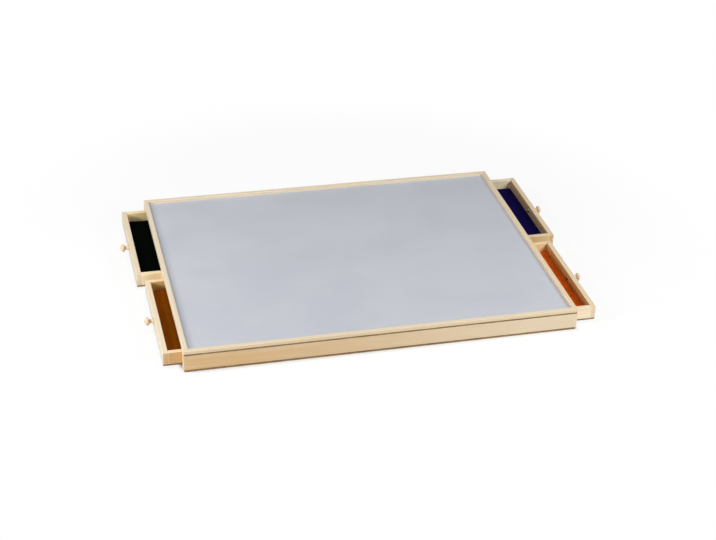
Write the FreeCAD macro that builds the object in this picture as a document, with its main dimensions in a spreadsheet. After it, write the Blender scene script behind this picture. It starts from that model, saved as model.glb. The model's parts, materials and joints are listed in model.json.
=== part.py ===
"""Jigsaw puzzle board with a rimmed work surface and four shallow drawers.

Millimetres, +Z up. The origin is the centre of the underside, +X runs along the board to the right
and +Y away from the long front edge. The drawers slide along X, two out of each short side.
"""
import FreeCAD
import Part
import os

import Sketcher

V = FreeCAD.Vector
Z_AXIS = V(0, 0, 1)

doc = FreeCAD.newDocument("puzzle_board")
sheet = doc.addObject("Spreadsheet::Sheet", "sizes")

# Driving dimensions, in millimetres.
SIZES = {
    # the board
    "board_length": 760,
    "board_depth": 585,
    "base_thick": 4,
    "base_inset": 0.6,
    "base_corner": 1.5,
    "batten_height": 30.5,
    "apron_thick": 9,
    "guide_width": 11,
    "runner_width": 21,
    "stop_thick": 12,
    "sheet_thick": 4,
    "sheet_inset": 0.8,
    "surface_thick": 0.5,
    "rim_rise": 6.5,
    "rim_width": 9,
    "edge_round": 0.9,
    # dowels between the side rims and the battens
    "dowel_diameter": 5,
    "dowel_length": 14,
    "dowel_clear": 0.1,
    "dowel_cover": 4,
    # countersunk screws up through the base
    "screw_diameter": 3,
    "screw_length": 16,
    "screw_head_diameter": 6,
    "screw_sink": 0.3,
    "screw_clear": 0.15,
    "screw_end": 40,
    # the drawers
    "drawer_side_gap": 0.75,
    "drawer_lift": 0.3,
    "drawer_stop_gap": 0.5,
    "face_thick": 10,
    "wall_thick": 9,
    "wall_height": 24.5,
    "bottom_thick": 3.6,
    "bottom_inset": 0.4,
    "lining_thick": 5.2,
    "lining_gap": 0.4,
    "lining_round": 1.5,
    # how far each drawer stands open
    "pull_left_front": 35.4,
    "pull_left_back": 49.3,
    "pull_right_front": 46.3,
    "pull_right_back": 62.6,
    # brads that hold a drawer bottom
    "brad_diameter": 1.4,
    "brad_length": 13,
    "brad_head_diameter": 3.2,
    "brad_head_thick": 0.6,
    "brad_clear": 0.1,
    "brad_end": 30,
    "brad_side": 60,
    # turned knobs
    "knob_reach": 17.4,
    "knob_diameter": 17,
    "knob_foot_diameter": 10,
    "knob_foot_thick": 1.5,
    "knob_neck_radius": 6,
    "knob_head_thick": 8.6,
    "knob_head_lip": 1.4,
    "knob_head_bulge": 1,
    "knob_crown_rise": 3.2,
    # knob screws
    "knob_screw_diameter": 3.6,
    "knob_screw_grip": 9.5,
    "knob_screw_tip": 2,
    "knob_screw_clear": 0.15,
    "knob_screw_head_diameter": 8,
    "knob_screw_head_thick": 2.6,
    "knob_screw_head_lip": 0.8,
    "knob_screw_slot": 1,
    "knob_screw_slot_length": 5,
    "knob_screw_slot_depth": 1.2,
}

# How many screws stand in each row under the board, and how many brads along each drawer wall.
SCREW_COLUMNS = 6
BRAD_COLUMNS = 3

for row, (name, value) in enumerate(SIZES.items(), start=1):
    sheet.set("A%d" % row, name)
    sheet.set("B%d" % row, str(value))
    sheet.setAlias("B%d" % row, name)
doc.recompute()


def size(name):
    """Expression that reads one driving dimension."""
    return "sizes." + name


def total(*terms):
    """Expression for a sum of expressions."""
    return "(" + " + ".join(terms) + ")"


def less(first, *others):
    """Expression for the first term minus the others."""
    return "(" + " - ".join((first,) + others) + ")"


def times(factor, term):
    """Expression for a term times a plain factor."""
    return "(%s * %s)" % (factor, term)


# Levels and lengths that follow from the driving dimensions, as expressions.
ZERO = "0"
LENGTH = size("board_length")
DEPTH = size("board_depth")
LEFT = times(-0.5, LENGTH)
RIGHT = times(0.5, LENGTH)
FRONT = times(-0.5, DEPTH)
BACK = times(0.5, DEPTH)
BATTEN_Z = size("base_thick")
BATTEN_HEIGHT = size("batten_height")
SHEET_Z = total(BATTEN_Z, BATTEN_HEIGHT)
SURFACE_Z = total(SHEET_Z, size("sheet_thick"))
RIM_WIDTH = size("rim_width")
INNER_DEPTH = less(DEPTH, times(2, size("apron_thick")))
BATTEN_LENGTH = less(times(0.5, LENGTH), times(0.5, size("stop_thick")))
BAY_WIDTH = times(0.5, less(INNER_DEPTH, times(2, size("guide_width")), size("runner_width")))
DRAWER_LENGTH = less(BATTEN_LENGTH, size("drawer_stop_gap"))
DRAWER_WIDTH = less(BAY_WIDTH, times(2, size("drawer_side_gap")))
DRAWER_Z = total(BATTEN_Z, size("drawer_lift"))
WALL_Z = total(DRAWER_Z, size("bottom_thick"))
KNOB_Z = total(WALL_Z, times(0.5, size("wall_height")))

nodes = []


def new_body(label, x, y, z, turned=False):
    """An empty body with its own origin at x, y, z, turned half round about +Z if asked."""
    body = doc.addObject("PartDesign::Body", label)
    body.Label = label
    body.AllowCompound = True
    body.Placement = FreeCAD.Placement(V(), FreeCAD.Rotation(Z_AXIS, 180 if turned else 0))
    for axis, place in zip("xyz", (x, y, z)):
        body.setExpression("Placement.Base." + axis, place)
    nodes.append(body)
    return body


def new_sketch(body, name, role="XY_Plane", lift=None):
    """A sketch on one of the body's own origin planes, raised along the plane's normal if asked."""
    sketch = body.newObject("Sketcher::SketchObject", body.Label + "_" + name)
    plane = [item for item in body.Origin.OriginFeatures if item.Role == role][0]
    sketch.AttachmentSupport = (plane, [""])
    sketch.MapMode = "FlatFace"
    if lift:
        sketch.setExpression("AttachmentOffset.Base.z", lift)
    return sketch


def value_of(expression):
    """The number that an expression gives, used to draw a sketch near its solved shape."""
    return float(sheet.evalExpression(expression))


def fix(sketch, geometry, vertex, place):
    """Hold one vertex at a pair of expressions, measured from the sketch's origin."""
    kinds = ("DistanceX", "DistanceY")
    for kind, distance in zip(kinds, place):
        here = value_of(distance)
        if abs(here) < 1e-9 and distance == ZERO:
            on_axis = -2 if kind == "DistanceX" else -1
            sketch.addConstraint(Sketcher.Constraint("PointOnObject", geometry, vertex, on_axis))
            continue
        index = sketch.addConstraint(Sketcher.Constraint(kind, -1, 1, geometry, vertex, here))
        sketch.setExpression("Constraints[%d]" % index, distance)


def draw_outline(sketch, corners):
    """A closed outline through corners (x, y) or (x, y, radius, side).

    A corner with a radius starts an arc to the next corner. Side 1 bulges to the left of the way
    from one corner to the next, side -1 to the right.
    """
    count = len(corners)
    for index, corner in enumerate(corners):
        following = corners[(index + 1) % count]
        start = V(value_of(corner[0]), value_of(corner[1]), 0)
        end = V(value_of(following[0]), value_of(following[1]), 0)
        if len(corner) == 2:
            sketch.addGeometry(Part.LineSegment(start, end), False)
            continue
        radius = value_of(corner[2])
        chord = end - start
        left = V(-chord.y, chord.x, 0).normalize()
        rise = radius - (radius ** 2 - (chord.Length / 2) ** 2) ** 0.5
        middle = (start + end) * 0.5 + left * rise * corner[3]
        sketch.addGeometry(Part.Arc(start, middle, end), False)
    ends = [arc_ends(sketch.Geometry[index]) for index in range(count)]
    for index, corner in enumerate(corners):
        following = (index + 1) % count
        joint = (index, ends[index][1], following, ends[following][0])
        sketch.addConstraint(Sketcher.Constraint("Coincident", *joint))
    for index, corner in enumerate(corners):
        fix(sketch, index, ends[index][0], corner[:2])
        if len(corner) > 2:
            radius = value_of(corner[2])
            held = sketch.addConstraint(Sketcher.Constraint("Radius", index, radius))
            sketch.setExpression("Constraints[%d]" % held, corner[2])


def arc_ends(curve):
    """Which vertex of a sketch curve is its first along the outline, and which its last.

    A sketch stores an arc counter-clockwise, so an arc drawn clockwise comes back reversed.
    """
    if isinstance(curve, Part.ArcOfCircle) and curve.Axis.z < 0:
        return 2, 1
    return 1, 2


def draw_circles(sketch, centres, diameter):
    """Equal circles at the centres (x, y)."""
    for index, place in enumerate(centres):
        centre = V(value_of(place[0]), value_of(place[1]), 0)
        radius = value_of(diameter) / 2
        sketch.addGeometry(Part.Circle(centre, Z_AXIS, radius), False)
        fix(sketch, index, 3, place)
        held = sketch.addConstraint(Sketcher.Constraint("Radius", index, radius))
        sketch.setExpression("Constraints[%d]" % held, times(0.5, diameter))


def pad(body, sketch, length, taper=0):
    """Raise a sketch along its plane's normal. A taper in degrees widens or narrows it."""
    feature = body.newObject("PartDesign::Pad", sketch.Label + "_pad")
    feature.Profile = sketch
    feature.setExpression("Length", length)
    feature.TaperAngle = taper
    return feature


def cut(body, sketch, length, taper=0):
    """Cut a sketch into the body along its plane's normal."""
    feature = body.newObject("PartDesign::Pocket", sketch.Label + "_cut")
    feature.Profile = sketch
    feature.Reversed = True
    feature.setExpression("Length", length)
    feature.TaperAngle = taper
    return feature


def rectangle(length, depth, x=ZERO, y=ZERO):
    """Corners of a rectangle with its low corner at x, y."""
    far_x = length if x == ZERO else total(x, length)
    far_y = depth if y == ZERO else total(y, depth)
    return [(x, y), (far_x, y), (far_x, far_y), (x, far_y)]


def plank(label, length, depth, height, x, y, z, turned=False):
    """A rectangular piece: length along its own X, depth along Y and height along Z."""
    body = new_body(label, x, y, z, turned)
    outline = new_sketch(body, "outline")
    draw_outline(outline, rectangle(length, depth))
    pad(body, outline, height)
    return body


def bore(body, name, centres, diameter, depth, lift=None):
    """Blind holes up into a piece from its own XY plane, or from a height above it."""
    sketch = new_sketch(body, name, lift=lift)
    draw_circles(sketch, centres, diameter)
    return cut(body, sketch, depth)


def lies_along(edge, axis):
    """Whether an edge is a straight line along one axis, 0 for X, 1 for Y and 2 for Z."""
    if not isinstance(edge.Curve, Part.Line):
        return False
    return abs(abs(edge.Curve.Direction[axis]) - 1) < 1e-6


def soften(body, radius, picks):
    """Round the edges named by picks of (axis, {axis: "low" or "high"}), on the body's own box."""
    doc.recompute()
    base = body.Tip
    box = base.Shape.BoundBox
    ends = {"low": (box.XMin, box.YMin, box.ZMin), "high": (box.XMax, box.YMax, box.ZMax)}
    names = []
    for number, edge in enumerate(base.Shape.Edges, start=1):
        middle = edge.CenterOfMass
        for axis, sides in picks:
            at_side = all(abs(middle[way] - ends[side][way]) < 1e-4 for way, side in sides.items())
            if at_side and lies_along(edge, axis):
                names.append("Edge%d" % number)
    feature = body.newObject("PartDesign::Fillet", body.Label + "_round")
    feature.Base = (base, names)
    feature.setExpression("Radius", radius)
    return feature


def even_places(count, start, end):
    """Expressions for count places spaced evenly from start to end."""
    step = "(%s - %s) / %d" % (end, start, count - 1)
    return ["(%s + %d * %s)" % (start, index, step) for index in range(count)]


# ---------------------------------------------------------------- the case under the work board

SCREW_HEAD_TAPER = -45
SCREW_XS = even_places(SCREW_COLUMNS, size("screw_end"), less(LENGTH, size("screw_end")))
SCREW_FRONT_Y = times(0.5, size("apron_thick"))
SCREW_MIDDLE_Y = times(0.5, DEPTH)
SCREW_BACK_Y = less(DEPTH, times(0.5, size("apron_thick")))
SCREW_ROWS = (SCREW_FRONT_Y, SCREW_MIDDLE_Y, SCREW_BACK_Y)
SCREW_HOLE = total(size("screw_diameter"), times(2, size("screw_clear")))
SCREW_HEAD_HOLE = total(size("screw_head_diameter"), times(2, size("screw_clear")))
SCREW_HEAD_THICK = times(0.5, less(size("screw_head_diameter"), size("screw_diameter")))
PILOT_DEPTH = less(total(size("screw_length"), size("screw_sink"), size("screw_clear")), BATTEN_Z)


def make_base_panel():
    """Hardboard bottom sheet, a little inside the aprons, with countersunk holes."""
    inset = size("base_inset")
    length = less(LENGTH, times(2, inset))
    depth = less(DEPTH, times(2, inset))
    body = plank("base_panel", length, depth, BATTEN_Z, total(LEFT, inset), total(FRONT, inset), ZERO)
    centres = [(less(x, inset), less(y, inset)) for y in SCREW_ROWS for x in SCREW_XS]
    bore(body, "screw_holes", centres, SCREW_HOLE, BATTEN_Z)
    bore(body, "screw_mouths", centres, SCREW_HEAD_HOLE, size("screw_sink"))
    heads = new_sketch(body, "countersinks", lift=size("screw_sink"))
    draw_circles(heads, centres, SCREW_HEAD_HOLE)
    cut(body, heads, SCREW_HEAD_THICK, SCREW_HEAD_TAPER)
    corners = [(2, {0: a, 1: b}) for a in ("low", "high") for b in ("low", "high")]
    soften(body, size("base_corner"), corners)


def make_base_screws():
    """Countersunk wood screws, one solid each, up through the base into the wood above."""
    body = new_body("base_screws", LEFT, FRONT, size("screw_sink"))
    centres = [(x, y) for y in SCREW_ROWS for x in SCREW_XS]
    heads = new_sketch(body, "heads")
    draw_circles(heads, centres, size("screw_head_diameter"))
    pad(body, heads, SCREW_HEAD_THICK, SCREW_HEAD_TAPER)
    shanks = new_sketch(body, "shanks")
    draw_circles(shanks, centres, size("screw_diameter"))
    pad(body, shanks, size("screw_length"))


def make_apron(label, y, outer):
    """Long rail under one edge of the work board. Outer is the side that shows."""
    body = plank(label, LENGTH, size("apron_thick"), BATTEN_HEIGHT, LEFT, y, BATTEN_Z)
    centres = [(x, times(0.5, size("apron_thick"))) for x in SCREW_XS]
    bore(body, "pilot_holes", centres, SCREW_HOLE, PILOT_DEPTH)
    soften(body, size("edge_round"), [(0, {1: outer, 2: "low"}), (0, {1: outer, 2: "high"})])


DOWEL_HOLE = total(size("dowel_diameter"), times(2, size("dowel_clear")))
DOWEL_IN_RIM = less(total(size("sheet_thick"), size("rim_rise")), size("dowel_cover"))
DOWEL_IN_BATTEN = less(size("dowel_length"), DOWEL_IN_RIM)


def make_batten(label, side, y, width, screwed):
    """A batten across one half of the case, from the stop rail out to the short side.

    The drawers run between the battens. Its outer end carries the side rim on a dowel.
    """
    start = LEFT if side == "left" else times(0.5, size("stop_thick"))
    body = plank(label, BATTEN_LENGTH, width, BATTEN_HEIGHT, start, y, BATTEN_Z)
    half = times(0.5, RIM_WIDTH)
    dowel_x = half if side == "left" else less(BATTEN_LENGTH, half)
    mouth = less(BATTEN_HEIGHT, DOWEL_IN_BATTEN, size("dowel_clear"))
    depth = total(DOWEL_IN_BATTEN, size("dowel_clear"))
    bore(body, "dowel_hole", [(dowel_x, times(0.5, width))], DOWEL_HOLE, depth, lift=mouth)
    if screwed:
        half_count = SCREW_COLUMNS // 2
        places = SCREW_XS[:half_count]
        if side == "right":
            across = total(BATTEN_LENGTH, size("stop_thick"))
            places = [less(x, across) for x in SCREW_XS[half_count:]]
        bore(body, "pilot_holes", [(x, times(0.5, width)) for x in places], SCREW_HOLE, PILOT_DEPTH)


FRONT_GUIDE_Y = total(FRONT, size("apron_thick"))
BACK_GUIDE_Y = less(BACK, size("apron_thick"), size("guide_width"))
RUNNER_Y = times(-0.5, size("runner_width"))
BATTEN_ROWS = (
    ("front_guide", FRONT_GUIDE_Y, size("guide_width"), False),
    ("centre_runner", RUNNER_Y, size("runner_width"), True),
    ("back_guide", BACK_GUIDE_Y, size("guide_width"), False),
)


def make_case():
    """Base, aprons, stop rail and battens."""
    make_base_panel()
    make_base_screws()
    make_apron("front_apron", FRONT, "low")
    make_apron("back_apron", less(BACK, size("apron_thick")), "high")
    plank("centre_stop_rail", size("stop_thick"), INNER_DEPTH, BATTEN_HEIGHT,
          times(-0.5, size("stop_thick")), FRONT_GUIDE_Y, BATTEN_Z)
    for side in ("left", "right"):
        for name, y, width, screwed in BATTEN_ROWS:
            make_batten(side + "_" + name, side, y, width, screwed)


# ---------------------------------------------------------------- the work board and its rim

def make_work_board():
    """Hardboard sheet. Its long edges lie between apron and rim, its short ones inside the rims."""
    inset = size("sheet_inset")
    notch = less(RIM_WIDTH, inset)
    length = less(LENGTH, times(2, inset))
    depth = less(DEPTH, times(2, inset))
    body = new_body("work_board", total(LEFT, inset), total(FRONT, inset), SHEET_Z)
    near = notch
    far = less(depth, notch)
    inner = less(length, notch)
    corners = [
        (ZERO, ZERO), (length, ZERO), (length, near), (inner, near), (inner, far), (length, far),
        (length, depth), (ZERO, depth), (ZERO, far), (notch, far), (notch, near), (ZERO, near),
    ]
    outline = new_sketch(body, "outline")
    draw_outline(outline, corners)
    pad(body, outline, size("sheet_thick"))


def make_work_surface():
    """Smooth grey facing on the work board, inside the rim."""
    length = less(LENGTH, times(2, RIM_WIDTH))
    depth = less(DEPTH, times(2, RIM_WIDTH))
    plank("work_surface", length, depth, size("surface_thick"),
          total(LEFT, RIM_WIDTH), total(FRONT, RIM_WIDTH), SURFACE_Z)


def make_long_rim(label, y, outer):
    """Rim strip on the front or back edge of the work board."""
    body = plank(label, LENGTH, RIM_WIDTH, size("rim_rise"), LEFT, y, SURFACE_Z)
    inner = "high" if outer == "low" else "low"
    soften(body, size("edge_round"), [(0, {1: outer, 2: "high"}), (0, {1: inner, 2: "high"})])


DOWEL_YS = [total(y, times(0.5, width)) for name, y, width, screwed in BATTEN_ROWS]


def make_side_rim(label, x, outer):
    """Rim strip over the end of the work board. It stands on the ends of the battens."""
    height = total(size("sheet_thick"), size("rim_rise"))
    length = less(DEPTH, times(2, RIM_WIDTH))
    start = total(FRONT, RIM_WIDTH)
    body = plank(label, RIM_WIDTH, length, height, x, start, SHEET_Z)
    centres = [(times(0.5, RIM_WIDTH), less(y, start)) for y in DOWEL_YS]
    bore(body, "dowel_holes", centres, DOWEL_HOLE, total(DOWEL_IN_RIM, size("dowel_clear")))
    inner = "high" if outer == "low" else "low"
    picks = [(1, {0: outer, 2: "high"}), (1, {0: inner, 2: "high"}), (1, {0: outer, 2: "low"})]
    soften(body, size("edge_round"), picks)


def make_rim_dowels():
    """Six dowels, one solid each, between the side rims and the battens."""
    body = new_body("rim_dowels", LEFT, FRONT, less(SHEET_Z, DOWEL_IN_BATTEN))
    half = times(0.5, RIM_WIDTH)
    centres = [(x, less(y, FRONT)) for x in (half, less(LENGTH, half)) for y in DOWEL_YS]
    sketch = new_sketch(body, "ends")
    draw_circles(sketch, centres, size("dowel_diameter"))
    pad(body, sketch, size("dowel_length"))


def make_top():
    """Work board, its facing, the four rim strips and their dowels."""
    make_work_board()
    make_work_surface()
    make_long_rim("front_rim", FRONT, "low")
    make_long_rim("back_rim", less(BACK, RIM_WIDTH), "high")
    make_side_rim("left_rim", LEFT, "low")
    make_side_rim("right_rim", less(RIGHT, RIM_WIDTH), "high")
    make_rim_dowels()


# ---------------------------------------------------------------- the drawers

WALL_LENGTH = less(DRAWER_LENGTH, size("face_thick"))
END_WALL_WIDTH = less(DRAWER_WIDTH, times(2, size("wall_thick")))
BRAD_HOLE = total(size("brad_diameter"), times(2, size("brad_clear")))
BRAD_HEAD_HOLE = total(size("brad_head_diameter"), times(2, size("brad_clear")))
BRAD_PILOT = less(total(size("brad_length"), size("brad_clear")), size("bottom_thick"))
BRAD_WALL_XS = even_places(BRAD_COLUMNS, size("brad_end"), less(WALL_LENGTH, size("brad_end")))
BRAD_FACE_YS = (size("brad_side"), less(DRAWER_WIDTH, size("brad_side")))


class Drawer:
    """One drawer's place: its own frame starts at its outer face, with +X into the case."""

    def __init__(self, side, row):
        self.name = "%s_%s_drawer" % (side, row)
        self.turned = side == "right"
        pull = size("pull_%s_%s" % (side, row))
        low = total(FRONT_GUIDE_Y, size("guide_width"), size("drawer_side_gap"))
        if row == "back":
            low = total(times(0.5, size("runner_width")), size("drawer_side_gap"))
        self.x = total(RIGHT, pull) if self.turned else less(LEFT, pull)
        self.y = total(low, DRAWER_WIDTH) if self.turned else low

    def place(self, x, y, z):
        """Board coordinates of a point in the drawer's own frame."""
        if self.turned:
            return less(self.x, x), less(self.y, y), z
        return total(self.x, x), total(self.y, y), z

    def plank(self, piece, length, depth, height, x, y, z):
        """A rectangular piece of this drawer."""
        where = self.place(x, y, z)
        return plank(self.name + "_" + piece, length, depth, height, *where, turned=self.turned)


def brad_centres():
    """Places of the brads in the drawer's own frame."""
    half_wall = times(0.5, size("wall_thick"))
    rows = (half_wall, less(DRAWER_WIDTH, half_wall))
    sides = [(total(size("face_thick"), x), y) for y in rows for x in BRAD_WALL_XS]
    ends = (times(0.5, size("face_thick")), less(DRAWER_LENGTH, half_wall))
    return sides + [(x, y) for x in ends for y in BRAD_FACE_YS]


def make_drawer_face(drawer):
    """Front panel, full width, with the hole for the knob's screw."""
    thick = size("face_thick")
    body = drawer.plank("face", thick, DRAWER_WIDTH, size("wall_height"), ZERO, ZERO, WALL_Z)
    hole = new_sketch(body, "knob_hole", "YZ_Plane")
    centre = (times(0.5, DRAWER_WIDTH), times(0.5, size("wall_height")))
    bore_width = total(size("knob_screw_diameter"), times(2, size("knob_screw_clear")))
    draw_circles(hole, [centre], bore_width)
    cut(body, hole, thick)
    bore(body, "brad_holes", [(times(0.5, thick), y) for y in BRAD_FACE_YS], BRAD_HOLE, BRAD_PILOT)
    picks = [(1, {0: "low", 2: "low"}), (1, {0: "low", 2: "high"}), (1, {0: "high", 2: "high"})]
    picks += [(2, {0: "low", 1: "low"}), (2, {0: "low", 1: "high"})]
    soften(body, size("edge_round"), picks)


def make_drawer_walls(drawer):
    """Two side walls behind the face, and the end wall between them."""
    thick = size("wall_thick")
    height = size("wall_height")
    names = ("far_wall", "near_wall") if drawer.turned else ("near_wall", "far_wall")
    places = (ZERO, less(DRAWER_WIDTH, thick))
    for name, y in zip(names, places):
        body = drawer.plank(name, WALL_LENGTH, thick, height, size("face_thick"), y, WALL_Z)
        bore(body, "brad_holes", [(x, times(0.5, thick)) for x in BRAD_WALL_XS], BRAD_HOLE, BRAD_PILOT)
        soften(body, size("edge_round"), [(0, {1: "low", 2: "high"}), (0, {1: "high", 2: "high"})])
    x = less(DRAWER_LENGTH, thick)
    body = drawer.plank("end_wall", thick, END_WALL_WIDTH, height, x, thick, WALL_Z)
    centres = [(times(0.5, thick), less(y, thick)) for y in BRAD_FACE_YS]
    bore(body, "brad_holes", centres, BRAD_HOLE, BRAD_PILOT)
    soften(body, size("edge_round"), [(1, {0: "low", 2: "high"}), (1, {0: "high", 2: "high"})])


def make_drawer_bottom(drawer):
    """Hardboard sheet under the walls, and the brads that hold it, one solid each."""
    inset = size("bottom_inset")
    length = less(DRAWER_LENGTH, times(2, inset))
    width = less(DRAWER_WIDTH, times(2, inset))
    body = drawer.plank("bottom", length, width, size("bottom_thick"), inset, inset, DRAWER_Z)
    centres = [(less(x, inset), less(y, inset)) for x, y in brad_centres()]
    bore(body, "brad_holes", centres, BRAD_HOLE, size("bottom_thick"))
    bore(body, "brad_mouths", centres, BRAD_HEAD_HOLE, size("brad_head_thick"))
    where = drawer.place(ZERO, ZERO, DRAWER_Z)
    body = new_body(drawer.name + "_brads", *where, turned=drawer.turned)
    parts = (("heads", "brad_head_diameter", "brad_head_thick"), ("shanks", "brad_diameter", "brad_length"))
    for name, diameter, length in parts:
        sketch = new_sketch(body, name)
        draw_circles(sketch, brad_centres(), size(diameter))
        pad(body, sketch, size(length))


def make_drawer_lining(drawer):
    """Felt-covered pad that lies on the drawer's bottom."""
    gap = size("lining_gap")
    x = total(size("face_thick"), gap)
    y = total(size("wall_thick"), gap)
    length = less(DRAWER_LENGTH, x, size("wall_thick"), gap)
    width = less(DRAWER_WIDTH, times(2, y))
    body = drawer.plank("lining", length, width, size("lining_thick"), x, y, WALL_Z)
    picks = [(0, {1: side, 2: "high"}) for side in ("low", "high")]
    picks += [(1, {0: side, 2: "high"}) for side in ("low", "high")]
    soften(body, size("lining_round"), picks)


def revolve(body, corners):
    """Turn an outline in the body's own XY plane round its X axis."""
    sketch = new_sketch(body, "section")
    draw_outline(sketch, corners)
    feature = body.newObject("PartDesign::Revolution", body.Label + "_turn")
    feature.Profile = sketch
    feature.ReferenceAxis = (sketch, ["H_Axis"])
    feature.Angle = 360
    return feature


def knob_section():
    """Half section of a turned knob, from its foot at 0 out to its crown."""
    reach = size("knob_reach")
    foot = times(0.5, size("knob_foot_diameter"))
    head = less(reach, size("knob_head_thick"))
    lip = total(head, size("knob_head_lip"))
    crown = less(reach, size("knob_crown_rise"))
    bulge = size("knob_head_bulge")
    edge = less(times(0.5, size("knob_diameter")), bulge)
    half_lip = times(0.5, less(crown, lip))
    lip_radius = "((%s ^ 2 + %s ^ 2) / (2 * %s))" % (half_lip, bulge, bulge)
    rise = size("knob_crown_rise")
    crown_radius = "((%s ^ 2 + %s ^ 2) / (2 * %s))" % (edge, rise, rise)
    hole = total(times(0.5, size("knob_screw_diameter")), size("knob_screw_clear"))
    hole_end = total(size("knob_screw_grip"), size("knob_screw_clear"))
    return [
        (hole_end, ZERO), (hole_end, hole), (ZERO, hole), (ZERO, foot),
        (size("knob_foot_thick"), foot, size("knob_neck_radius"), -1), (head, foot),
        (lip, edge, lip_radius, 1), (crown, edge, crown_radius, 1), (reach, ZERO),
    ]


def screw_section():
    """Half section of a pan head screw, from the top of its head at 0 to its tip."""
    head = size("knob_screw_head_thick")
    head_edge = times(0.5, size("knob_screw_head_diameter"))
    lip = less(head, size("knob_screw_head_lip"))
    dome_radius = "((%s ^ 2 + %s ^ 2) / (2 * %s))" % (head_edge, lip, lip)
    shank = times(0.5, size("knob_screw_diameter"))
    tip = total(head, size("face_thick"), size("knob_screw_grip"))
    return [
        (ZERO, ZERO, dome_radius, 1), (lip, head_edge), (head, head_edge), (head, shank),
        (less(tip, size("knob_screw_tip")), shank), (tip, ZERO),
    ]


def make_knob(drawer):
    """Turned knob on the face, and the screw that holds it from inside the drawer."""
    middle = times(0.5, DRAWER_WIDTH)
    body = new_body(drawer.name + "_knob", *drawer.place(ZERO, middle, KNOB_Z), turned=not drawer.turned)
    revolve(body, knob_section())
    head = size("knob_screw_head_thick")
    where = drawer.place(total(size("face_thick"), head), middle, KNOB_Z)
    body = new_body(drawer.name + "_knob_screw", *where, turned=not drawer.turned)
    revolve(body, screw_section())
    make_cross_slot(body)


def make_cross_slot(body):
    """Two crossing slots in the screw's head, drawn about its axis."""
    long_half = times(0.5, size("knob_screw_slot_length"))
    short_half = times(0.5, size("knob_screw_slot"))
    for name, half_y, half_z in (("slot", long_half, short_half), ("cross_slot", short_half, long_half)):
        sketch = new_sketch(body, name, "YZ_Plane")
        low_y = times(-1, half_y)
        low_z = times(-1, half_z)
        corners = [(low_y, low_z), (half_y, low_z), (half_y, half_z), (low_y, half_z)]
        draw_outline(sketch, corners)
        cut(body, sketch, size("knob_screw_slot_depth"))


def make_drawers():
    """Four drawers, two out of each short side."""
    for side in ("left", "right"):
        for row in ("front", "back"):
            drawer = Drawer(side, row)
            make_drawer_face(drawer)
            make_drawer_walls(drawer)
            make_drawer_bottom(drawer)
            make_drawer_lining(drawer)
            make_knob(drawer)


# ---------------------------------------------------------------- build, test and write

def test_model():
    """Stop if a feature failed or a piece is not a set of valid solids."""
    for item in doc.Objects:
        if "Invalid" in item.State or "Error" in item.State:
            raise RuntimeError("failed feature: " + item.Label)
    for body in nodes:
        shape = body.Shape
        if shape.isNull() or not shape.isValid() or not shape.Solids:
            raise RuntimeError("bad shape: " + body.Label)


def write_model():
    """One STEP file for each node."""
    os.makedirs("parts", exist_ok=True)
    for body in nodes:
        body.Shape.exportStep("parts/%s.step" % body.Label)


make_case()
make_top()
make_drawers()
doc.recompute()
test_model()
write_model()
for body in nodes:
    print("%-34s %2d solids %12.1f mm3" % (body.Label, len(body.Shape.Solids), body.Shape.Volume))
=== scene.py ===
"""Looks of a jigsaw puzzle board with four drawers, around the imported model.

Metres, in the part's own frame: the origin is the centre of the underside, +X runs along the board
to the right, +Y away from the long front edge and +Z up. The wood is pale pine with its grain along
each piece, the sheets are brown hardboard, the work surface is a satin grey facing, and each drawer
is lined with a pad that has felt of its own colour drawn over it.
"""

import json
import math

import bpy
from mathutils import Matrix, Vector, noise

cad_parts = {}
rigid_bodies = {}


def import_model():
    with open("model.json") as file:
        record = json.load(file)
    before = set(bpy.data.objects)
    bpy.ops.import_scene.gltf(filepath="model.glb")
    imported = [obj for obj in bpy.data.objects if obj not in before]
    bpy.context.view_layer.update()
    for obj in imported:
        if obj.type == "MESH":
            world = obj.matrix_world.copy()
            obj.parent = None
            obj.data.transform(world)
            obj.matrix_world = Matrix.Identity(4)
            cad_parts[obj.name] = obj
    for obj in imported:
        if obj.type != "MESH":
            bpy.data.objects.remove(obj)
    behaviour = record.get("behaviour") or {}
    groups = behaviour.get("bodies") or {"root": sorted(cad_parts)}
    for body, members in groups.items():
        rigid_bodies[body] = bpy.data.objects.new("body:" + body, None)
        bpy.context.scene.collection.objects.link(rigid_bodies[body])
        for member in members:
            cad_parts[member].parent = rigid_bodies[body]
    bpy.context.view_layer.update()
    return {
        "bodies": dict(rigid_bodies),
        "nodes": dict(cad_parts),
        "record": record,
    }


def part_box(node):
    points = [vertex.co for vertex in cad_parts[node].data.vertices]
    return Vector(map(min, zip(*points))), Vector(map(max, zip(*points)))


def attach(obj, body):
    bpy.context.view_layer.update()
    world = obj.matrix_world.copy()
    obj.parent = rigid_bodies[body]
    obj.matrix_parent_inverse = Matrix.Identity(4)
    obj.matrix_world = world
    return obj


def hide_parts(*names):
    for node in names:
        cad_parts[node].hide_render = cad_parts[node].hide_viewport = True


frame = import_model()

MM = 0.001
SLOTS = {part["node"]: part["material_slot"] for part in frame["record"]["subparts"]}

# ---------------------------------------------------------------- camera and light

CAMERA_PLACE = (-0.6728, -2.5942, 1.6124)
CAMERA_TURN = (58.999, -1.844, -13.813)
LENS_MM = 77.29
SENSOR_MM = 36.0
VIEW_FAR = 100.0

# Soft square lights turned to the board: name, place, side and watts.
LIGHTS = (
    ("left_low", (-1.70, -0.79, 0.68), 0.35, 16.0),
    ("left_high", (-1.53, 0.0, 1.29), 0.35, 12.3),
    ("front_right", (1.21, -1.21, 1.03), 0.8, 22.5),
    ("overhead", (0.0, 0.0, 2.0), 1.0, 10.2),
)
WORLD_COLOUR = (1.0, 1.0, 1.0, 1.0)
WORLD_LIGHT = 0.1


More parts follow.
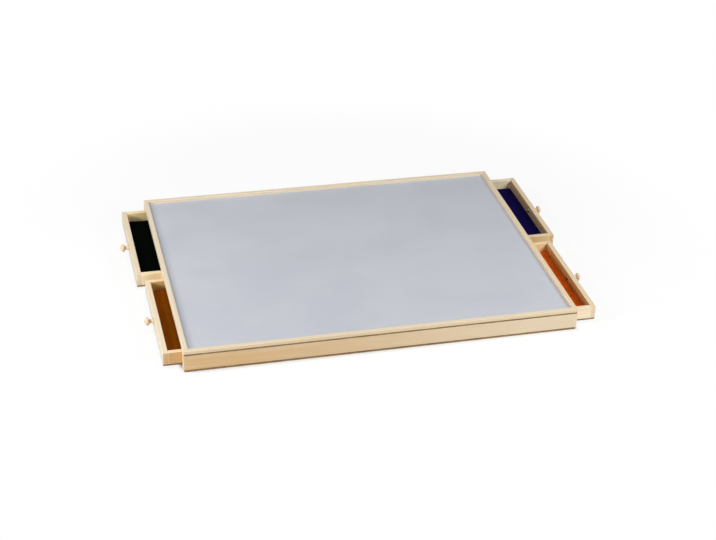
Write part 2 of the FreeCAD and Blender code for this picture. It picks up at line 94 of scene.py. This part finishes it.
def add_object(name, data):
    """A new object in the scene."""
    made = bpy.data.objects.new(name, data)
    bpy.context.scene.collection.objects.link(made)
    return made


def add_mesh(name, points, faces):
    """A new mesh object in the scene."""
    mesh = bpy.data.meshes.new(name)
    mesh.from_pydata(points, [], faces)
    return add_object(name, mesh)


def make_camera():
    """The camera that sees the board as photographed."""
    data = bpy.data.cameras.new("camera")
    data.lens = LENS_MM
    data.sensor_width = SENSOR_MM
    data.clip_end = VIEW_FAR
    camera = add_object("camera", data)
    camera.location = CAMERA_PLACE
    camera.rotation_euler = [math.radians(angle) for angle in CAMERA_TURN]
    bpy.context.scene.camera = camera


def make_lights():
    """The soft lights around the board."""
    bpy.context.scene.view_settings.view_transform = "Standard"
    for name, place, side, watts in LIGHTS:
        data = bpy.data.lights.new(name, "AREA")
        data.shape = "SQUARE"
        data.size = side
        data.energy = watts
        lamp = add_object(name, data)
        lamp.location = place
        lamp.rotation_euler = Vector(place).to_track_quat("Z", "Y").to_euler()


# ---------------------------------------------------------------- material tools

# Most values of a noise lie between these.
MOST_NOISE = (0.3, 0.7)


class Shader:
    """The node tree of one material, with short calls for the nodes that it uses."""

    def __init__(self, name, **fixed):
        self.material = bpy.data.materials.new(name)
        self.material.use_nodes = True
        self.start(self.material.node_tree)
        self.surface = self.tree.nodes["Principled BSDF"]
        for socket, value in fixed.items():
            self.surface.inputs[socket.replace("_", " ")].default_value = value
        self.coordinates = self.add("ShaderNodeTexCoord")
        self.place = self.coordinates.outputs["Object"]

    def start(self, tree):
        """Build in this node tree."""
        self.tree = tree

    def add(self, kind, **settings):
        """A new node."""
        node = self.tree.nodes.new(kind)
        for name, value in settings.items():
            setattr(node, name, value)
        return node

    def put(self, socket, value):
        """Link an output to a socket, or set the socket's own value."""
        if isinstance(value, bpy.types.NodeSocket):
            self.tree.links.new(value, socket)
        else:
            socket.default_value = value

    def calc(self, operation, *values):
        """One step of arithmetic."""
        node = self.add("ShaderNodeMath", operation=operation)
        for socket, value in zip(node.inputs, values):
            self.put(socket, value)
        return node.outputs[0]

    def radius(self, first, second):
        """How far a point lies from the origin, from its places along two axes."""
        square = self.calc("ADD", self.calc("POWER", first, 2.0), self.calc("POWER", second, 2.0))
        return self.calc("SQRT", square)

    def parts(self, vector):
        """The three components of a vector."""
        node = self.add("ShaderNodeSeparateXYZ")
        self.put(node.inputs[0], vector)
        return node.outputs

    def alike(self, value):
        """A vector with the same value three times."""
        node = self.add("ShaderNodeCombineXYZ")
        for socket in node.inputs:
            self.put(socket, value)
        return node.outputs[0]

    def moved(self, vector, scale=(1, 1, 1), shift=(0, 0, 0)):
        """A vector scaled, then shifted."""
        node = self.add("ShaderNodeMapping")
        self.put(node.inputs["Vector"], vector)
        node.inputs["Scale"].default_value = scale
        node.inputs["Location"].default_value = shift
        return node.outputs[0]

    def noise(self, vector, scale, detail=2.0, roughness=0.5, distortion=0.0):
        """Soft random values from 0 to 1, with about this many bumps to the metre along each axis."""
        node = self.add("ShaderNodeTexNoise")
        self.put(node.inputs["Vector"], self.moved(vector, scale=scale))
        node.inputs["Scale"].default_value = 1.0
        node.inputs["Detail"].default_value = detail
        node.inputs["Roughness"].default_value = roughness
        node.inputs["Distortion"].default_value = distortion
        return node.outputs[0]

    def speckle(self, vector, count, **settings):
        """Noise with the same number of bumps to the metre every way."""
        return self.noise(vector, (count, count, count), **settings)

    def span(self, value, low, high, to_low=0.0, to_high=1.0):
        """A value taken smoothly from one range to another and held there."""
        node = self.add("ShaderNodeMapRange", interpolation_type="SMOOTHSTEP")
        for socket, number in zip(node.inputs, (value, low, high, to_low, to_high)):
            self.put(socket, number)
        return node.outputs[0]

    def blend(self, factor, first, second, way="MIX"):
        """Two colours mixed by a factor, and no brighter than 1."""
        node = self.add("ShaderNodeMix", data_type="RGBA", blend_type=way, clamp_result=True)
        self.put(node.inputs["Factor"], factor)
        self.put(node.inputs["A"], first)
        self.put(node.inputs["B"], second)
        return node.outputs["Result"]

    def shaded(self, colour, share):
        """A colour with each channel times a share."""
        return self.blend(1.0, colour, self.alike(share), "MULTIPLY")

    def mixed(self, factor, first, second):
        """Two surfaces mixed by a factor."""
        node = self.add("ShaderNodeMixShader")
        for socket, value in zip(node.inputs, (factor, first, second)):
            self.put(socket, value)
        return node.outputs[0]

    def bump(self, height, depth):
        """Surface relief from a height of about 0 to 1 and the depth, in metres, that 1 stands for."""
        node = self.add("ShaderNodeBump")
        self.put(node.inputs["Height"], height)
        node.inputs["Distance"].default_value = depth
        node.inputs["Strength"].default_value = 1.0
        self.put(self.surface.inputs["Normal"], node.outputs[0])

    def colour(self, value):
        """Link the surface's colour."""
        self.put(self.surface.inputs["Base Color"], value)

    def roughness(self, value):
        """Set or link the surface's roughness."""
        self.put(self.surface.inputs["Roughness"], value)


def linear(red, green, blue):
    """A colour given as it looks on screen, from 0 to 255, in the renderer's own scale."""
    def channel(value):
        share = value / 255
        return share / 12.92 if share <= 0.04045 else ((share + 0.055) / 1.055) ** 2.4
    return (channel(red), channel(green), channel(blue), 1.0)


def give(piece, material):
    """Dress a piece in one material."""
    piece.data.materials.clear()
    piece.data.materials.append(material)


# ---------------------------------------------------------------- floor and background

FLOOR_DROP = 0.2 * MM
FLOOR_HALF = 30.0
FLOOR_COLOUR = (0.92, 0.92, 0.92, 1.0)
# Bumps to the metre, and the roughness that they vary between.
FLOOR_MOTTLE = 3
FLOOR_ROUGHNESS = (0.85, 0.95)
# The floor's own light: its share under the board, up to how far out that share holds, and from
# where on it is whole. Beside the base it falls off, so that a dark line of partly real shadow and
# partly painted shade runs along the base.
FLOOR_OWN_LIGHT = 0.86
SHADOW_NEAR = 0.5
SHADOW_FAR = 0.9
CONTACT_OWN_LIGHT = 0.05
CONTACT_WIDE = 12 * MM


def make_floor():
    """A wide floor just under the board."""
    corners = [(-1, -1), (1, -1), (1, 1), (-1, 1)]
    points = [(x * FLOOR_HALF, y * FLOOR_HALF, -FLOOR_DROP) for x, y in corners]
    floor = add_mesh("floor", points, [(0, 1, 2, 3)])
    give(floor, make_floor_white())


def make_floor_white():
    """White that keeps the board's shadow. Seen from below it lets the view through."""
    shader = Shader("floor_white", Base_Color=FLOOR_COLOUR)
    mottle = shader.speckle(shader.place, FLOOR_MOTTLE, detail=3)
    shader.roughness(shader.span(mottle, *MOST_NOISE, *FLOOR_ROUGHNESS))
    glow = shader.calc("MULTIPLY", seen_rays(shader), own_light_share(shader))
    white = shader.add("ShaderNodeEmission").outputs[0]
    lit = shader.mixed(glow, shader.surface.outputs[0], white)
    underneath = shader.add("ShaderNodeNewGeometry").outputs["Backfacing"]
    clear = shader.add("ShaderNodeBsdfTransparent").outputs[0]
    output = shader.tree.nodes["Material Output"]
    shader.put(output.inputs["Surface"], shader.mixed(underneath, lit, clear))
    return shader.material


def own_light_share(shader):
    """How much of the floor's white is its own light, less under the board and beside its base."""
    x, y = shader.parts(shader.place)[:2]
    share = shader.span(shader.radius(x, y), SHADOW_NEAR, SHADOW_FAR, FLOOR_OWN_LIGHT, 1.0)
    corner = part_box("base_panel")[1]
    past_side = shader.calc("SUBTRACT", shader.calc("ABSOLUTE", x), corner.x)
    past_front = shader.calc("SUBTRACT", shader.calc("ABSOLUTE", y), corner.y)
    past_base = shader.calc("MAXIMUM", past_side, past_front)
    # Painted shade, partly: little own light in a band beside the base, so the floor there is darker.
    contact = shader.span(past_base, 0.0, CONTACT_WIDE, CONTACT_OWN_LIGHT, 1.0)
    return shader.calc("MINIMUM", share, contact)


def seen_rays(shader):
    """1 for rays that see the background: from the camera, or by a mirror or through glass."""
    path = shader.add("ShaderNodeLightPath").outputs
    seen = shader.calc("MAXIMUM", path["Is Camera Ray"], path["Is Glossy Ray"])
    return shader.calc("MAXIMUM", seen, path["Is Transmission Ray"])


class World(Shader):
    """The world's node tree, built like a material's."""

    def __init__(self, world):
        world.use_nodes = True
        self.start(world.node_tree)


def make_world():
    """White where it is seen, and a plain even light elsewhere."""
    world = bpy.data.worlds.new("studio")
    bpy.context.scene.world = world
    shader = World(world)
    background = shader.tree.nodes["Background"]
    background.inputs["Color"].default_value = WORLD_COLOUR
    strength = shader.span(seen_rays(shader), 0.0, 1.0, WORLD_LIGHT, 1.0)
    shader.put(background.inputs["Strength"], strength)


# ---------------------------------------------------------------- wood

PINE = {
    "early": linear(240, 227, 201),
    "late": linear(226, 198, 154),
    "warm": linear(225, 178, 108),
    "blush": linear(236, 210, 178),
    "end": linear(209, 176, 132),
    "end_ring": linear(204, 152, 98),
    "arris": linear(249, 240, 222),
}
BEECH = {
    "early": linear(230, 209, 180),
    "late": linear(206, 175, 141),
    "warm": linear(206, 173, 136),
    "blush": linear(216, 183, 154),
    "end": linear(212, 184, 152),
    "end_ring": linear(196, 162, 126),
    "arris": linear(240, 216, 182),
}


class Wood:
    """How light a piece is, how warm and dark at the low and the high end of its grain, how much its end
    grain shows, and the colour of its broad side that faces -X or -Y, if that has its own. The tone, the
    warmth and the side colour are partly the wood's own and partly painted light and shade."""

    def __init__(self, tone, warmth_and_painted_shade_low, warmth_and_painted_shade_high, end_share, side=None):
        self.tone = tone
        self.warmth_and_painted_shade_low = warmth_and_painted_shade_low
        self.warmth_and_painted_shade_high = warmth_and_painted_shade_high
        self.end_share = end_share
        self.side = side


# Tones and side colours were tuned to the photo. The side colours stand partly for light
# that the lamps don't give there, and not for the wood alone.
# Painted light and shade: the tones mostly lighten the drawers' walls and darken the apron, rims and
# colours make the far walls' inner sides lighter and more golden and most other broad sides darker.
# drawer faces, the warmth darkens the apron's left end and makes some walls more golden, and the side
PLAIN_WOOD = Wood(1.0, 0.2, 0.2, 0.4)
WOODS = {
    "front_apron": Wood(0.83, 0.75, 0.08, 0.5),
    "front_rim": Wood(0.88, 0.12, 0.02, 0.3, linear(228, 206, 166)),
    "left_rim": Wood(0.89, 0.0, 0.0, 0.3),
    "right_rim": Wood(0.9, 0.2, 0.2, 0.3),
    "back_rim": Wood(0.92, 0.0, 0.05, 0.3),
    "left_front_drawer_face": Wood(0.93, 0.04, 0.04, 1.0, linear(199, 196, 178)),
    "left_front_drawer_near_wall": Wood(1.08, 0.4, 0.4, 0.3, linear(198, 152, 82)),
    "left_front_drawer_far_wall": Wood(1.13, 0.85, 0.85, 0.3, linear(248, 216, 140)),
    "left_back_drawer_face": Wood(0.9, 0.05, 0.05, 0.0, linear(202, 188, 162)),
    "left_back_drawer_near_wall": Wood(1.05, 0.12, 0.12, 0.3, linear(244, 225, 178)),
    "left_back_drawer_far_wall": Wood(1.12, 0.4, 0.4, 0.3, linear(248, 224, 162)),
    "right_front_drawer_face": Wood(0.89, 0.2, 0.2, 0.0, linear(220, 170, 67)),
    "right_front_drawer_near_wall": Wood(1.02, 0.05, 0.05, 0.3),
    "right_front_drawer_far_wall": Wood(1.1, 0.48, 0.48, 0.3, linear(250, 230, 170)),
    "right_back_drawer_face": Wood(0.85, 0.3, 0.3, 0.9, linear(178, 142, 100)),
    "right_back_drawer_near_wall": Wood(0.89, 0.3, 0.3, 0.3, linear(234, 196, 131)),
    "right_back_drawer_far_wall": Wood(1.0, 0.12, 0.12, 0.3, linear(254, 240, 204)),
}
# How much of a side's colour of painted light and shade shows over the wood.
PAINTED_SIDE_SHARE = 0.75

# Growth rings: their width, how far they sway with how many bumps to the metre, and where in each
# ring the latewood rises and where it ends.
RING_WIDTH = 2.3 * MM
RING_WAVE = 2.2 * MM
RING_SWAY = (5, 22, 22)
RING_RISE = (0.25, 0.9)
RING_FALL = (0.93, 1.0)
RING_CONTRAST = 0.35
RING_CONTRAST_SPREAD = 0.3
END_RING_CONTRAST = 0.6
PITH_NEAR = 35 * MM
PITH_FAR = 90 * MM
# How far along the grain the pieces' patterns lie apart at most, in metres.
LOG_LONG = 7.3
FIBRE_LONG = 90 * MM
FIBRE_WIDE = 0.5 * MM
FIBRE_NOISE = (0.38, 0.72)
FIBRE_SHADE = (1.04, 0.9)
PATCH_LONG = 140 * MM
PATCH_WIDE = 9 * MM
BLUSH_NOISE = (0.42, 0.72)
BLUSH_MOST = 0.55
ARRIS_WIDE = 0.7 * MM
ARRIS_MOST = 0.6
ARRIS_NOISE = (0.35, 0.6)
ARRIS_LEAST = 0.5
WOOD_ROUGHNESS = (0.4, 0.52)
END_ROUGHNESS_MORE = 0.15
WOOD_RELIEF = 0.06 * MM
RING_RELIEF = 0.5
LATHE_WAVE = 9000.0
LATHE_RELIEF = 0.25
# A side starts to count as facing an axis at the first of these cosines, and counts fully at the second.
FACES_FROM = 0.8
FACES_FULLY = 0.97
GOLDEN = 0.6180339887
SEED_STEP = 0.37
# The turn that brings each axis onto X.
TURN_TO_X = {0: (0, 0, 0), 1: (0, 0, math.radians(-90)), 2: (0, math.radians(90), 0)}


def seeded(number, turns):
    """A number from 0 to 1 for a piece's number. Each use of it has its own number of turns."""
    return (number * GOLDEN * turns + SEED_STEP * turns) % 1.0


class WoodShader(Shader):
    """Solid wood of one piece, and the patterns that its colour, roughness and relief share."""

    def __init__(self, name, piece, look, number, axis):
        super().__init__(name, Specular_IOR_Level=0.4)
        self.look = look
        self.wood = WOODS.get(piece, PLAIN_WOOD)
        self.low, self.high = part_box(piece)
        self.sides = self.high - self.low
        self.axis = max(range(3), key=lambda way: self.sides[way]) if axis is None else axis
        self.log = self.along_grain(number)
        self.contrast = RING_CONTRAST + RING_CONTRAST_SPREAD * seeded(number, 11)
        self.rings = self.growth_rings()
        self.fibres = self.drawn_out(FIBRE_LONG, FIBRE_WIDE, detail=4, roughness=0.6)
        self.patches = self.drawn_out(PATCH_LONG, PATCH_WIDE, detail=3)
        self.normal = self.parts(self.coordinates.outputs["Normal"])
        turned_away = self.calc("ABSOLUTE", self.normal[self.axis])
        self.end_grain = self.span(turned_away, FACES_FROM, FACES_FULLY)

    def along_grain(self, number):
        """The point in the log's frame: X along the grain, and the pith away to one side."""
        centre = (self.low + self.high) / 2
        local = self.moved(self.place, shift=[-value for value in centre])
        turned = self.add("ShaderNodeVectorRotate", rotation_type="EULER_XYZ")
        self.put(turned.inputs["Vector"], local)
        turned.inputs["Rotation"].default_value = TURN_TO_X[self.axis]
        angle = 2 * math.pi * seeded(number, 3)
        reach = PITH_NEAR + (PITH_FAR - PITH_NEAR) * seeded(number, 5)
        shift = (LOG_LONG * seeded(number, 7), reach * math.cos(angle), reach * math.sin(angle))
        return self.moved(turned.outputs[0], shift=shift)

    def drawn_out(self, length, width, **settings):
        """Noise with bumps of this length along the grain and this width across it."""
        return self.noise(self.log, (1 / length, 1 / width, 1 / width), **settings)

    def growth_rings(self):
        """Latewood share, from 0 to 1: slow darkening across each ring and a sharp end."""
        sway = self.calc("SUBTRACT", self.noise(self.log, RING_SWAY, detail=2), 0.5)
        sway = self.calc("MULTIPLY", sway, 2 * RING_WAVE)
        radius = self.radius(*self.parts(self.log)[1:])
        phase = self.calc("FRACT", self.calc("DIVIDE", self.calc("ADD", radius, sway), RING_WIDTH))
        rise = self.span(phase, *RING_RISE)
        fall = self.span(phase, *RING_FALL, 1.0, 0.0)
        return self.calc("MULTIPLY", rise, fall)

    def long_sides(self):
        """The colour of the sides along the grain, with painted light and shade in its warmth, side
        colour and tone.
        """
        ring_share = self.calc("MULTIPLY", self.rings, self.contrast)
        colour = self.blend(ring_share, self.look["early"], self.look["late"])
        low, high = self.low[self.axis], self.high[self.axis]
        along = self.parts(self.place)[self.axis]
        # Painted shade, partly: more warmth towards one end darkens that end, as on the apron's left
        # end.
        warmth_and_painted_shade = self.span(along, low, high, self.wood.warmth_and_painted_shade_low, self.wood.warmth_and_painted_shade_high)
        colour = self.blend(warmth_and_painted_shade, colour, self.look["warm"])
        blush = self.span(self.patches, *BLUSH_NOISE, 0.0, BLUSH_MOST)
        colour = self.blend(blush, colour, self.look["blush"])
        # Painted light and shade: the broad side that faces -X or -Y takes its own colour.
        if self.wood.side:
            colour = self.blend(self.painted_side_share(), colour, self.wood.side)
        streak = self.span(self.fibres, *FIBRE_NOISE, *FIBRE_SHADE)
        # The tone is partly the wood's own and partly painted light and shade over the whole piece.
        return self.shaded(colour, self.calc("MULTIPLY", streak, self.wood.tone))

    def painted_side_share(self):
        """How much of the side colour, painted light and shade, shows: only on the broad side that faces
        -X or -Y.
        """
        across = 0 if self.sides.x < self.sides.y else 1
        return self.span(self.normal[across], -FACES_FULLY, -FACES_FROM, PAINTED_SIDE_SHARE, 0.0)

    def with_ends(self, colour):
        """The end grain laid over a colour."""
        ring_share = self.calc("MULTIPLY", self.rings, END_RING_CONTRAST)
        end_colour = self.blend(ring_share, self.look["end"], self.look["end_ring"])
        share = self.calc("MULTIPLY", self.end_grain, self.wood.end_share)
        return self.blend(share, colour, end_colour)

    def with_paler_edges(self, colour):
        """Paler wood along the edges of a box, in some places more than in others."""
        near_edge = self.span(self.edge_distance(), 0.0, ARRIS_WIDE, ARRIS_MOST, 0.0)
        uneven = self.span(self.patches, *ARRIS_NOISE, ARRIS_LEAST, 1.0)
        return self.blend(self.calc("MULTIPLY", near_edge, uneven), colour, self.look["arris"])

    def edge_distance(self):
        """How far a point on a box's surface lies from the nearest of the box's edges."""
        gaps = []
        for socket, start, end in zip(self.parts(self.place), self.low, self.high):
            from_low = self.calc("SUBTRACT", socket, start)
            from_high = self.calc("SUBTRACT", end, socket)
            gaps.append(self.calc("MINIMUM", from_low, from_high))
        nearer = self.calc("MINIMUM", gaps[0], gaps[1])
        further = self.calc("MAXIMUM", gaps[0], gaps[1])
        return self.calc("MAXIMUM", nearer, self.calc("MINIMUM", further, gaps[2]))

    def lathe_marks(self):
        """Fine rings left by the lathe across a turned piece."""
        x = self.parts(self.log)[0]
        wave = self.calc("SINE", self.calc("MULTIPLY", x, LATHE_WAVE))
        return self.calc("MULTIPLY", wave, LATHE_RELIEF)


def make_wood(name, piece, look, number, axis=None, boxed=True, turned=False):
    """Solid wood for one piece, with its grain along an axis, or along the piece's longest side."""
    shader = WoodShader(name, piece, look, number, axis)
    colour = shader.with_ends(shader.long_sides())
    if boxed:
        colour = shader.with_paler_edges(colour)
    shader.colour(colour)
    dull = shader.span(shader.fibres, *MOST_NOISE, *WOOD_ROUGHNESS)
    dull_end = shader.calc("MULTIPLY", shader.end_grain, END_ROUGHNESS_MORE)
    shader.roughness(shader.calc("ADD", dull, dull_end))
    height = shader.calc("ADD", shader.calc("MULTIPLY", shader.rings, RING_RELIEF), shader.fibres)
    if turned:
        height = shader.calc("ADD", height, shader.lathe_marks())
    shader.bump(height, WOOD_RELIEF)
    return shader.material


# ---------------------------------------------------------------- hardboard, facing, felt, steel

# How far each hardboard sheet's pattern lies from the one before, in metres.
BOARD_STEP = (1.0, 0.7, 0.3)

# Bumps to the metre of each pattern.
BOARD_CLOUDS = 45
BOARD_FLECKS = 900
FACING_CLOUDS = (7, 9, 9)
FACING_WAVES = (9, 14, 14)
FACING_GRAIN = 1600
FELT_HAIRS = 700
FELT_CLOUDS = 30
STEEL_SPOTS = 500

# The range of the noise that a detail shows in, and how much it shows at either end of the range.
PALE_FLECKS = (0.55, 0.75, 0.0, 0.5)
DARK_FLECKS = (0.25, 0.42, 0.5, 0.0)
DARK_GRAIN = (0.35, 0.65, 0.0, 0.35)
HAIR_NOISE = (0.35, 0.7)

BOARD_ROUGHNESS = (0.5, 0.62)
FACING_ROUGHNESS = (0.58, 0.64)
FELT_ROUGHNESS = 0.95
STEEL_ROUGHNESS = (0.3, 0.45)

BOARD_RELIEF = 0.05 * MM
FACING_RELIEF = 0.03 * MM
FACING_WAVE_SHARE = 5.0
FACING_GRAIN_SHARE = 0.3
FELT_RELIEF = 0.35 * MM
STEEL_RELIEF = 0.02 * MM

BOARD = {
    "dark": linear(124, 98, 62),
    "light": linear(144, 118, 78),
    "pale_fleck": linear(176, 152, 108),
    "dark_fleck": linear(92, 64, 42),
}
FACING = {
    "dark": linear(189, 192, 200),
    "light": linear(196, 199, 206),
    "grain": linear(181, 184, 192),
}
STEEL = {
    "dark": linear(120, 116, 108),
    "light": linear(160, 156, 148),
}
FELT_SHADE = (0.95, 1.04)

# Ground and hair of each felt, written brighter than they show in the shade of the drawers.
FELTS = {
    "felt_black": (linear(0, 3, 1), linear(4, 8, 5)),
    "felt_ochre": (linear(141, 68, 0), linear(177, 101, 16)),
    "felt_navy": (linear(10, 6, 57), linear(28, 21, 84)),
    "felt_orange": (linear(219, 82, 10), linear(239, 117, 32)),
}


def make_hardboard(name, number):
    """Pressed brown fibreboard with fine pale and dark fibres."""
    shader = Shader(name, Specular_IOR_Level=0.3)
    place = shader.moved(shader.place, shift=[number * step for step in BOARD_STEP])
    clouds = shader.speckle(place, BOARD_CLOUDS, detail=3)
    flecks = shader.speckle(place, BOARD_FLECKS, detail=3, distortion=1.5)
    colour = shader.blend(shader.span(clouds, *MOST_NOISE), BOARD["dark"], BOARD["light"])
    colour = shader.blend(shader.span(flecks, *PALE_FLECKS), colour, BOARD["pale_fleck"])
    colour = shader.blend(shader.span(flecks, *DARK_FLECKS), colour, BOARD["dark_fleck"])
    shader.colour(colour)
    shader.roughness(shader.span(clouds, *MOST_NOISE, *BOARD_ROUGHNESS))
    shader.bump(flecks, BOARD_RELIEF)
    return shader.material


def make_facing(name):
    """Smooth satin grey facing: a very fine grain, faint clouds and a little unevenness."""
    shader = Shader(name, Specular_IOR_Level=0.35)
    clouds = shader.noise(shader.place, FACING_CLOUDS, detail=3)
    grain = shader.speckle(shader.place, FACING_GRAIN, detail=2)
    waves = shader.noise(shader.place, FACING_WAVES, detail=1)
    colour = shader.blend(shader.span(clouds, *MOST_NOISE), FACING["dark"], FACING["light"])
    colour = shader.blend(shader.span(grain, *DARK_GRAIN), colour, FACING["grain"])
    shader.colour(colour)
    shader.roughness(shader.span(clouds, *MOST_NOISE, *FACING_ROUGHNESS))
    high_waves = shader.calc("MULTIPLY", waves, FACING_WAVE_SHARE)
    low_grain = shader.calc("MULTIPLY", grain, FACING_GRAIN_SHARE)
    shader.bump(shader.calc("ADD", high_waves, low_grain), FACING_RELIEF)
    return shader.material


def make_felt(name, slot):
    """Short-haired felt: matted fibres over a darker ground."""
    ground, hair = FELTS[slot]
    shader = Shader(name, Specular_IOR_Level=0.02, Sheen_Weight=0.04, Sheen_Roughness=0.5)
    shader.surface.inputs["Sheen Tint"].default_value = hair
    shader.roughness(FELT_ROUGHNESS)
    mat = shader.speckle(shader.place, FELT_HAIRS, detail=4, roughness=0.7, distortion=2.5)
    clouds = shader.speckle(shader.place, FELT_CLOUDS, detail=3)
    colour = shader.blend(shader.span(mat, *HAIR_NOISE), ground, hair)
    shader.colour(shader.shaded(colour, shader.span(clouds, *MOST_NOISE, *FELT_SHADE)))
    shader.bump(mat, FELT_RELIEF)
    return shader.material


def make_steel(name):
    """Zinc-plated steel, a little dulled."""
    shader = Shader(name, Metallic=1.0)
    spots = shader.speckle(shader.place, STEEL_SPOTS, detail=3)
    shader.colour(shader.blend(spots, STEEL["dark"], STEEL["light"]))
    shader.roughness(shader.span(spots, *MOST_NOISE, *STEEL_ROUGHNESS))
    shader.bump(spots, STEEL_RELIEF)
    return shader.material


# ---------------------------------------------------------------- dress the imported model

BREAK_WIDTH = 0.3 * MM
BREAK_STEPS = 2
SHARP_ANGLE = math.radians(40)
WELD_GAP = 0.001 * MM


def break_edges(piece):
    """Take the sharpness off the square edges of a piece."""
    weld = piece.modifiers.new("weld", "WELD")
    weld.merge_threshold = WELD_GAP
    bevel = piece.modifiers.new("bevel", "BEVEL")
    bevel.width = BREAK_WIDTH
    bevel.segments = BREAK_STEPS
    bevel.limit_method = "ANGLE"
    bevel.angle_limit = SHARP_ANGLE
    bevel.harden_normals = True


def dress_case_and_drawers():
    """Give the wood, hardboard, facing and steel nodes of the model their finish."""
    steel = make_steel("steel")
    facing = make_facing("grey_facing")
    for number, name in enumerate(sorted(frame["nodes"]), start=1):
        piece = frame["nodes"][name]
        slot = SLOTS[name]
        if slot == "pine":
            give(piece, make_wood("pine_" + name, name, PINE, number))
            break_edges(piece)
        elif slot == "knob_wood":
            give(piece, make_wood("knob_" + name, name, BEECH, number, axis=0, boxed=False, turned=True))
        elif slot == "dowel_wood":
            give(piece, make_wood("dowel_" + name, name, BEECH, number, axis=2, boxed=False))
        elif slot == "hardboard":
            give(piece, make_hardboard("hardboard_" + name, number))
        elif slot == "grey_surface":
            give(piece, facing)
        elif slot == "steel":
            give(piece, steel)


# ---------------------------------------------------------------- felt pads in the drawers

FELT_THICK = 1.2 * MM
FELT_EDGE = 0.3 * MM
PAD_CELL = 6 * MM
FELT_ROLL = 1.6 * MM
FELT_SWELL = 0.25 * MM
FELT_WAVE = 75 * MM
SWELL_SPREAD = 3
ROLL_STEPS = 5


def rows_between(low, high, roll):
    """Places across a pad: close together at its rolled edges and even between them."""
    turns = [0.5 * math.pi * step / ROLL_STEPS for step in range(ROLL_STEPS + 1)]
    edge = [roll * (1 - math.cos(turn)) for turn in turns]
    inner = high - low - 2 * roll
    count = max(2, round(inner / PAD_CELL))
    middle = [low + roll + inner * step / count for step in range(1, count)]
    return [low + value for value in edge] + middle + [high - value for value in reversed(edge)]


def roll_drop(place, low, high, roll):
    """How far a rolled edge lies under the top at a place across the pad."""
    depth = max(roll - (place - low), roll - (high - place), 0.0)
    return roll - math.sqrt(max(roll ** 2 - depth ** 2, 0.0))


def grid_faces(across, rows):
    """The faces between the points of a grid that is numbered row by row."""
    faces = []
    for row in range(rows - 1):
        for start in range(row * across, (row + 1) * across - 1):
            faces.append((start, start + 1, start + across + 1, start + across))
    return faces


def grid_rim(across, rows):
    """The numbers of a grid's outer points, once round."""
    last = across * rows - 1
    front = list(range(across))
    right = list(range(2 * across - 1, last, across))
    back = list(range(last, last - across, -1))
    left = list(range(last + 1 - 2 * across, 0, -across))
    return front + right + back + left


def pad_cover(name, low, high, roll, foot, swell, closed=False):
    """A sheet over the top of a pad, rolled at its edges and turned down to its foot."""
    xs = rows_between(low.x, high.x, roll)
    ys = rows_between(low.y, high.y, roll)
    points = []
    for y in ys:
        for x in xs:
            drop = roll_drop(x, low.x, high.x, roll) + roll_drop(y, low.y, high.y, roll)
            points.append((x, y, max(high.z + swell(x, y) - drop, foot)))
    faces = grid_faces(len(xs), len(ys))
    rim = grid_rim(len(xs), len(ys))
    skirt = len(points)
    points += [(points[index][0], points[index][1], foot) for index in rim]
    for step, here in enumerate(rim):
        after = (step + 1) % len(rim)
        faces.append((here, skirt + step, skirt + after, rim[after]))
    if closed:
        faces.append(tuple(reversed(range(skirt, len(points)))))
    piece = add_mesh(name, points, faces)
    polygons = piece.data.polygons
    polygons.foreach_set("use_smooth", [True] * len(polygons))
    return piece


def make_felt_cover(body, low, high, slot):
    """Felt drawn over a drawer's pad and down its sides, a little uneven on top."""
    seed = Vector((high.x, high.y, 0)) * SWELL_SPREAD

    def swell(x, y):
        return FELT_SWELL * (noise.noise(Vector((x, y, 0)) / FELT_WAVE + seed) - 0.5) - FELT_SWELL

    felt = pad_cover(body + "_felt", low, high, FELT_ROLL, low.z + FELT_EDGE, swell)
    layers = felt.modifiers.new("thickness", "SOLIDIFY")
    layers.thickness = FELT_THICK
    layers.offset = -1.0
    give(felt, make_felt(slot + "_cloth", slot))
    return felt


def make_pad_board(body, low, high, number):
    """The flat board under a drawer's felt, closed on its underside."""
    inset = Vector((FELT_THICK, FELT_THICK, 0))
    under = Vector((0, 0, FELT_THICK + 2 * FELT_SWELL))
    board_high = high - inset - under
    board = pad_cover(body + "_pad", low + inset, board_high, FELT_EDGE, low.z, lambda x, y: 0.0, True)
    give(board, make_hardboard("board_" + body, number))
    return board


def make_felt_pad(body, number):
    """A board on the drawer's bottom and the felt over it, in place of the plain lining."""
    lining = body + "_lining"
    low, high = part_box(lining)
    felt = make_felt_cover(body, low, high, SLOTS[lining])
    board = make_pad_board(body, low, high, number)
    for piece in (board, felt):
        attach(piece, body)
        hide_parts(lining)


# ---------------------------------------------------------------- put together

make_camera()
make_lights()
make_world()
make_floor()
dress_case_and_drawers()
drawers = [name for name in sorted(frame["bodies"]) if name != "case"]
for number, drawer in enumerate(drawers):
    make_felt_pad(drawer, number)
